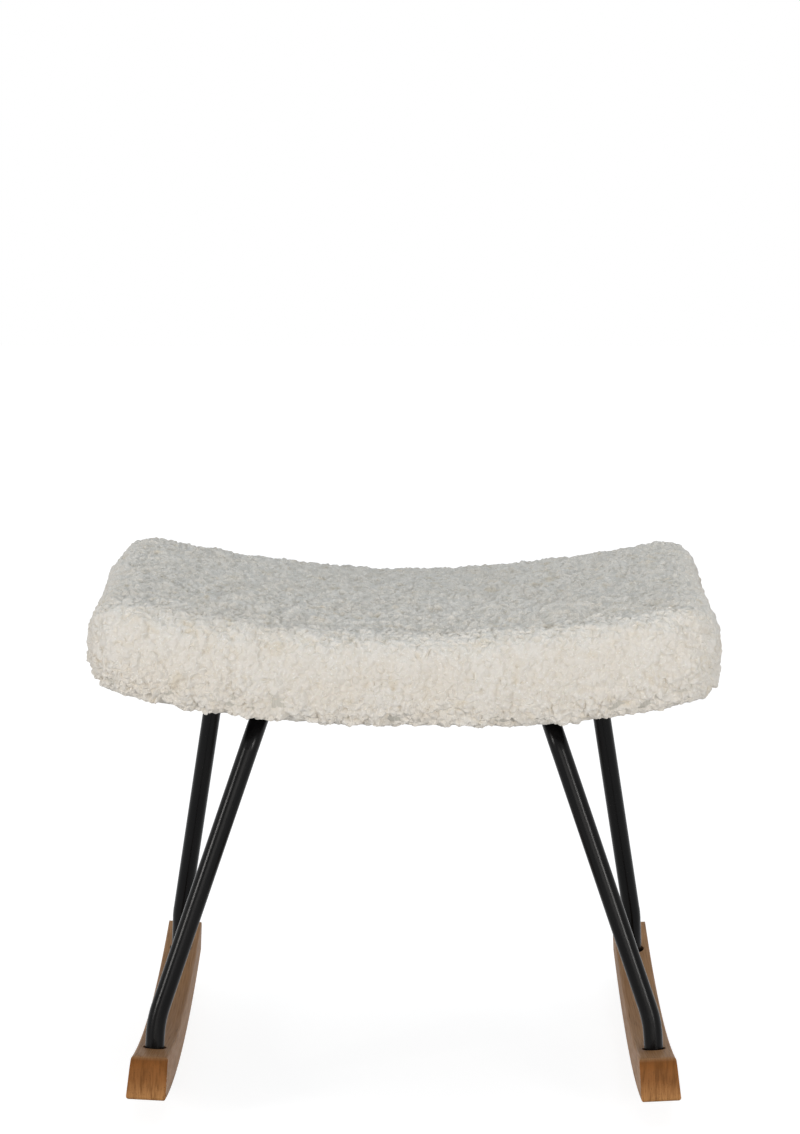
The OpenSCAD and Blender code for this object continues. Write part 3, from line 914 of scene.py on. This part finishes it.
# %% Dust cover
DUST_GAP = 0.0003
DUST_H = 0.0039
DUST_T = 0.0005
DUST_SAG = 0.0014
SAG_FADE = 0.03
RIPPLE_SIZE = 0.05
BAR_Y = 0.064
BAR_FLAT = 0.018
BAR_FADE = 0.02
dust_w = HALF_W - WINDOW - DUST_GAP
dust_d = HALF_D - WINDOW - DUST_GAP

body = bmesh.new()
bmesh.ops.create_grid(body, x_segments=100, y_segments=68, size=1.0)
bmesh.ops.scale(body, vec=(dust_w, dust_d, 1), verts=body.verts)
for vert in body.verts:
    x, y, _ = vert.co
    off_edge = min(1.0, (dust_w - abs(x)) / SAG_FADE, (dust_d - abs(y)) / SAG_FADE)
    off_bar = clamp((abs(abs(y) - BAR_Y) - BAR_FLAT) / BAR_FADE)
    ripple = 0.6 + 0.4 * noise.noise(Vector((x, y, 0)) / RIPPLE_SIZE)
    vert.co.z = saddle_height(x, DUST_H - DUST_SAG * off_edge * off_bar * ripple)
dust = add_piece("dust_cover_cloth", body, nonwoven)
give_thickness(dust, DUST_T, 0)
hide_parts("dust_cover")
print("dust cover faces:", len(dust.data.polygons))

# %% [markdown]
# ## Weld beads
#
# The flat crossbars are welded across the tubes. A bead of melted metal fills
# the corner on both sides of each bar. Its ripples come from the welder's
# hand, moving on drop by drop. A small circle is spun part of the way round
# the tube, and its rings are made thicker and thinner in turn.

# %% The tube's run under the seat
TUBE_R = 0.008
TUBE_DROP = 0.00895
RUN_CORNERS = [Vector((x, y, saddle_height(x, -TUBE_DROP)))
               for x, y in ((0.120, -0.114), (0.1175, -0.040), (0.167, 0.114))]


def run_at(side, y):
    """A point on the tube's centre line under the seat, and the line's direction."""
    start, end = RUN_CORNERS[:2] if y < RUN_CORNERS[1].y else RUN_CORNERS[1:]
    place = start.lerp(end, (y - start.y) / (end.y - start.y))
    along = (end - start).normalized()
    return Vector((side * place.x, y, place.z)), Vector((side * along.x, along.y, along.z))


print("run at the bars:", [[round(1000 * c, 1) for c in run_at(1, y)[0]] for y in (-BAR_Y, BAR_Y)])

# %% Weld beads where the crossbars meet the tubes
BAR_HALF = 0.014
BEAD_R = 0.0022
BEAD_OFF_BAR = BEAD_R * 0.5
BEAD_OFF_TUBE = BEAD_R * 0.35
BEAD_ANGLE = math.radians(100)
BEAD_SIDES = 8
BEAD_STEPS = 18
DROPS = 26
DROP_LIFT = 0.16
GRIT = 900
GRIT_LIFT = 0.08


def add_bead(beads, centre, axis):
    """Adds one rippled bead that runs over the tube, round centre and axis."""
    start = Matrix.Rotation(-BEAD_ANGLE / 2, 3, axis) @ Vector((0, 0, TUBE_R + BEAD_OFF_TUBE))
    circle = bmesh.ops.create_circle(beads, segments=BEAD_SIDES, radius=BEAD_R, cap_ends=False)
    ring = circle["verts"]
    level = start.cross(axis).to_track_quat("Z", "Y").to_matrix()
    bmesh.ops.rotate(beads, verts=ring, cent=(0, 0, 0), matrix=level)
    bmesh.ops.translate(beads, verts=ring, vec=centre + start)
    ring_edges = list(dict.fromkeys(edge for vert in ring for edge in vert.link_edges))
    before = set(beads.verts)
    bmesh.ops.spin(
        beads, geom=ring + ring_edges, cent=centre, axis=axis, angle=BEAD_ANGLE,
        steps=BEAD_STEPS, use_merge=False, use_duplicate=False
    )
    for vert in (set(beads.verts) - before) | set(ring):
        offset = vert.co - centre
        offset -= axis * offset.dot(axis)
        spun = math.acos(clamp(offset.normalized().dot(start.normalized()), -1, 1))
        spine = centre + Matrix.Rotation(spun, 3, axis) @ start
        ripple = 1 + DROP_LIFT * math.sin(spun * DROPS) + GRIT_LIFT * noise.noise(vert.co * GRIT)
        vert.co = spine + (vert.co - spine) * ripple


beads = bmesh.new()
for side in (-1, 1):
    for bar_y in (-BAR_Y, BAR_Y):
        for edge in (-1, 1):
            add_bead(beads, *run_at(side, bar_y + edge * (BAR_HALF + BEAD_OFF_BAR)))
ends = [edge for edge in beads.edges if edge.is_boundary]
bmesh.ops.holes_fill(beads, edges=ends)
bmesh.ops.recalc_face_normals(beads, faces=beads.faces)
bead_piece = add_piece("weld_beads", beads, powder_black)
print("bead faces:", len(bead_piece.data.polygons))

# %% [markdown]
# ## Floor, background and lamps
#
# The photograph has a pure white background. The floor is a large pale sheet,
# and to the camera and to reflections it shows mostly as plain white, so that
# only a soft shadow is left. The light is a broad, slightly warm softbox in
# front, a large cooler one above, and two small ones at the front left and
# right, which show on the tubes as thin bright lines. A tube reflects a lamp
# only from certain directions, so these two stand where their lines run down
# the whole of a front leg.

# %% Stage
FLOOR_HALF = 6.0
GLOW = 0.86
GLOW_PER_METRE = 0.05
SKY_STRENGTH = 0.27


def seen_directly(tree):
    """1 for rays from the camera, or through a reflection or glass."""
    rays = add_node(tree, "LightPath").node
    most = do_math(tree, "MAXIMUM", rays.outputs["Is Camera Ray"], rays.outputs["Is Glossy Ray"])
    return do_math(tree, "MAXIMUM", most, rays.outputs["Is Transmission Ray"])


floor_finish, tree, shader = start_finish(
    "pale_floor", (0.48, 0.48, 0.48), 0.9, Specular_IOR_Level=0.0
)
lit = add_node(tree, "BsdfDiffuse", {"Color": (0.35, 0.35, 0.35, 1)})
coords = add_node(tree, "TexCoord", output="Object")
away = add_node(tree, "VectorMath", {0: coords}, "Value", operation="LENGTH")
strength = do_math(tree, "ADD", GLOW, do_math(tree, "MULTIPLY", GLOW_PER_METRE, away))
glow = add_node(tree, "Emission", {"Color": (1, 1, 1, 1), "Strength": strength})
shown = add_node(tree, "AddShader", {0: lit, 1: glow})
mixed = add_node(tree, "MixShader", {0: seen_directly(tree), 1: shader.outputs[0], 2: shown})
tree.links.new(mixed, tree.nodes["Material Output"].inputs["Surface"])

body = bmesh.new()
bmesh.ops.create_grid(body, x_segments=1, y_segments=1, size=FLOOR_HALF)
mesh = bpy.data.meshes.new("floor")
body.to_mesh(mesh)
body.free()
mesh.materials.append(floor_finish)
floor = bpy.data.objects.new("floor", mesh)
scene.collection.objects.link(floor)

world = bpy.data.worlds.new("studio")
scene.world = world
world.use_nodes = True
tree = world.node_tree
sky = tree.nodes["Background"]
sky.inputs["Color"].default_value = (0.92, 0.955, 1.0, 1)
sky.inputs["Strength"].default_value = SKY_STRENGTH
white = add_node(tree, "Background", {0: (1, 1, 1, 1), 1: 1.0})
mixed = add_node(tree, "MixShader", {0: seen_directly(tree), 1: sky.outputs[0], 2: white})
tree.links.new(mixed, tree.nodes["World Output"].inputs["Surface"])

# %% Lamps: name, place, target, size, watts and colour
SOFTBOXES = (
    ("front softbox", (0.0, -2.7, 0.3), (0, 0, 0.33), (1.8, 0.5), 9.5, (1.0, 0.97, 0.935)),
    ("top softbox", (0.2, 0.3, 2.4), (0, 0, 0.3), (1.8, 1.8), 19.5, (0.88, 0.952, 1.0)),
    ("left softbox", (-1.64, -1.25, 0.58), (-0.16, -0.13, 0.3), (0.45, 0.34), 13, (1.0, 0.975, 0.945)),
    ("right softbox", (1.10, -1.75, 0.48), (0.16, -0.13, 0.3), (0.45, 0.34), 12.5, (1.0, 0.98, 0.955)),
)
for name, place, target, size, watts, color in SOFTBOXES:
    lamp = bpy.data.lights.new(name, "AREA")
    lamp.shape = "RECTANGLE"
    lamp.size, lamp.size_y = size
    lamp.energy = watts
    lamp.color = color
    box = bpy.data.objects.new(name, lamp)
    box.location = place
    box.rotation_euler = (Vector(target) - Vector(place)).to_track_quat("-Z", "Y").to_euler()
    scene.collection.objects.link(box)
print("lamps:", len(SOFTBOXES))
